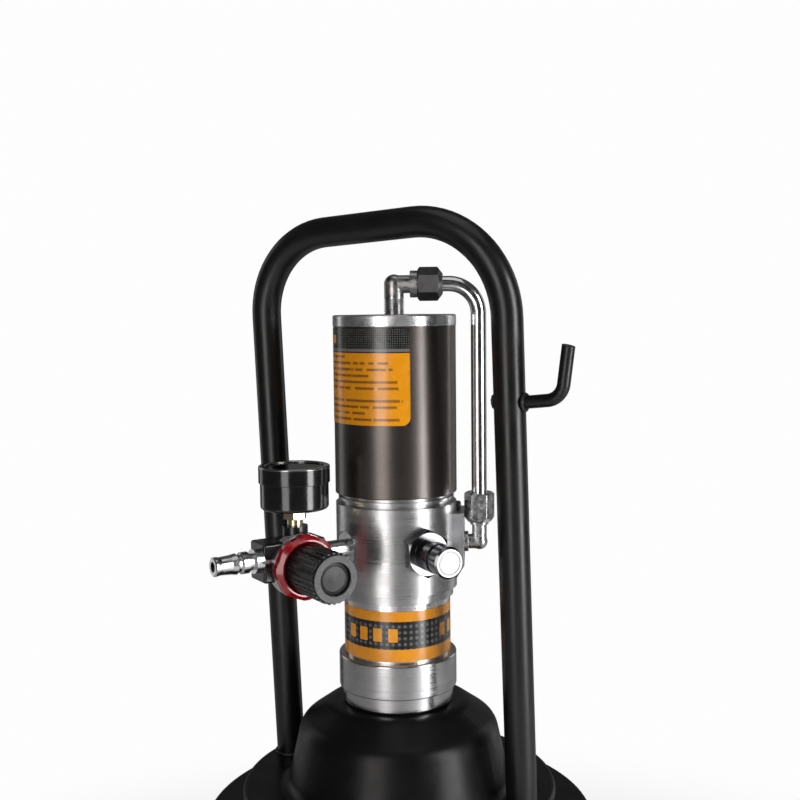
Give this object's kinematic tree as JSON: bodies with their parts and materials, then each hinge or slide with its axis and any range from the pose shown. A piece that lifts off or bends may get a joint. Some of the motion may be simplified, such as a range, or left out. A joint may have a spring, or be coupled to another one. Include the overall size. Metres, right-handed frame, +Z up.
{
  "type": "air-operated gear oil pump on a drum",
  "caption": "Air-operated drum pump for gear oil or grease: air cylinder on a cast head, regulator with gauge, domed cover with a tall loop handle, and a closed drum.",
  "frame": {"origin": "centre of the drum's foot, on the floor", "axes": "+Z up along the axis of drum, pump and cylinder; the loop handle stands in the XZ plane with the hose hook on the +X leg"},
  "size_m": [0.2829, 0.2681, 0.7238],
  "materials": {
    "powder_black": "satin black powder coat with a fine texture",
    "cast_aluminium": "bright machined casting",
    "bronze_anodised": "satin dark bronze anodised tube",
    "bright_plated": "bright nickel-chrome plating",
    "plated_steel": "zinc plated, fine turned",
    "brass_fitting": "turned brass",
    "red_anodised": "gloss red anodised",
    "black_plastic": "black moulded plastic, satin",
    "black_gloss": "black enamelled gauge case",
    "grey_print": "light grey printed ring",
    "seal_rubber": "matt nitrile rubber",
    "label_film": "orange and black self-adhesive film",
    "clear_window": "clear gauge window",
    "dial_white": "white dial with black marks",
    "white_plug": "white protective plug"
  },
  "bodies": {
    "stand": {"air_nipple": "bright_plated", "air_tube": "bright_plated", "bonnet_ring": "bright_plated", "clamp_ears": "powder_black", "clamp_pins": "plated_steel", "clamp_ring_nut": "powder_black", "collar": "cast_aluminium", "cover_claws": "powder_black", "cover_gasket": "seal_rubber", "cylinder_cap": "cast_aluminium", "cylinder_label": "label_film", "cylinder_seals": "seal_rubber", "cylinder_tube": "bronze_anodised", "drum": "powder_black", "drum_cover": "powder_black", "exhaust_plug": "black_plastic", "foot_valve": "plated_steel", "gauge_bezel": "black_gloss", "gauge_case": "black_gloss", "gauge_dial": "dial_white", "gauge_lens": "clear_window", "gauge_stem": "brass_fitting", "handle": "powder_black", "hose_hook": "powder_black", "inlet_pipe": "bright_plated", "lower_elbow": "bright_plated", "lower_nut": "bright_plated", "neck": "cast_aluminium", "neck_band": "label_film", "outlet_cap": "white_plug", "outlet_fitting": "bright_plated", "pump_head": "cast_aluminium", "regulator_body": "black_plastic", "regulator_bonnet": "black_plastic", "ring_nut": "red_anodised", "rod_seal": "seal_rubber", "strainer": "plated_steel", "suction_tube": "plated_steel", "upper_elbow": "bright_plated", "upper_nut": "bright_plated"},
    "piston": {"air_piston": "plated_steel", "piston_seal": "seal_rubber", "piston_rod": "plated_steel", "plunger": "plated_steel"},
    "spool": {"valve_spool": "plated_steel"},
    "knob": {"adjusting_knob": "black_plastic", "knob_end_ring": "grey_print", "knob_centre_cap": "black_plastic", "adjusting_screw": "plated_steel"},
    "pointer": {"gauge_pointer": "black_plastic"},
    "follower": {"follower_plate": "plated_steel", "follower_wiper": "seal_rubber"},
    "foot_ball": {"foot_ball": "plated_steel"},
    "plunger_ball": {"plunger_ball": "plated_steel"},
    "swing_bolt_1": {"swing_bolt_1": "plated_steel"},
    "wing_nut_1": {"wing_nut_1": "plated_steel"},
    "swing_bolt_2": {"swing_bolt_2": "plated_steel"},
    "wing_nut_2": {"wing_nut_2": "plated_steel"},
    "swing_bolt_3": {"swing_bolt_3": "plated_steel"},
    "wing_nut_3": {"wing_nut_3": "plated_steel"}
  },
  "joints": [
    {"name": "piston_stroke", "type": "slide", "parent": "stand", "child": "piston", "axis": [0, 0, 1], "range_m": [0, 0.068]},
    {"name": "spool_shift", "type": "slide", "parent": "stand", "child": "spool", "axis": [0, 0, 1], "range_m": [-0.004, 0.004]},
    {"name": "knob_turn", "type": "hinge", "parent": "stand", "child": "knob", "pos_m": [-0.03218, -0.06597, 0.5028], "axis": [0.8988, -0.4384, 0], "range_deg": [-540, 540]},
    {"name": "pointer_sweep", "type": "hinge", "parent": "stand", "child": "pointer", "pos_m": [-0.03424, -0.06496, 0.556], "axis": [0, 0, -1], "range_deg": [0, 270]},
    {"name": "follower_travel", "type": "slide", "parent": "stand", "child": "follower", "axis": [0, 0, 1], "range_m": [-0.185, 0.03]},
    {"name": "foot_ball_lift", "type": "slide", "parent": "stand", "child": "foot_ball", "axis": [0, 0, 1], "range_m": [0, 0.003]},
    {"name": "plunger_ball_lift", "type": "slide", "parent": "piston", "child": "plunger_ball", "axis": [0, 0, 1], "range_m": [0, 0.006]},
    {"name": "swing_bolt_1_swing", "type": "hinge", "parent": "stand", "child": "swing_bolt_1", "pos_m": [0.13892, 0.00485, 0.29], "axis": [-0.0349, 0.9994, 0], "range_deg": [0, 110]},
    {"name": "wing_nut_1_turn", "type": "hinge", "parent": "swing_bolt_1", "child": "wing_nut_1", "pos_m": [0.13892, 0.00485, 0.29], "axis": [0, 0, 1], "continuous": true},
    {"name": "swing_bolt_2_swing", "type": "hinge", "parent": "stand", "child": "swing_bolt_2", "pos_m": [-0.07366, 0.11788, 0.29], "axis": [-0.848, -0.5299, 0], "range_deg": [0, 110]},
    {"name": "wing_nut_2_turn", "type": "hinge", "parent": "swing_bolt_2", "child": "wing_nut_2", "pos_m": [-0.07366, 0.11788, 0.29], "axis": [0, 0, 1], "continuous": true},
    {"name": "swing_bolt_3_swing", "type": "hinge", "parent": "stand", "child": "swing_bolt_3", "pos_m": [-0.06526, -0.12273, 0.29], "axis": [0.8829, -0.4695, 0], "range_deg": [0, 110]},
    {"name": "wing_nut_3_turn", "type": "hinge", "parent": "swing_bolt_3", "child": "wing_nut_3", "pos_m": [-0.06526, -0.12273, 0.29], "axis": [0, 0, 1], "continuous": true}
  ]
}
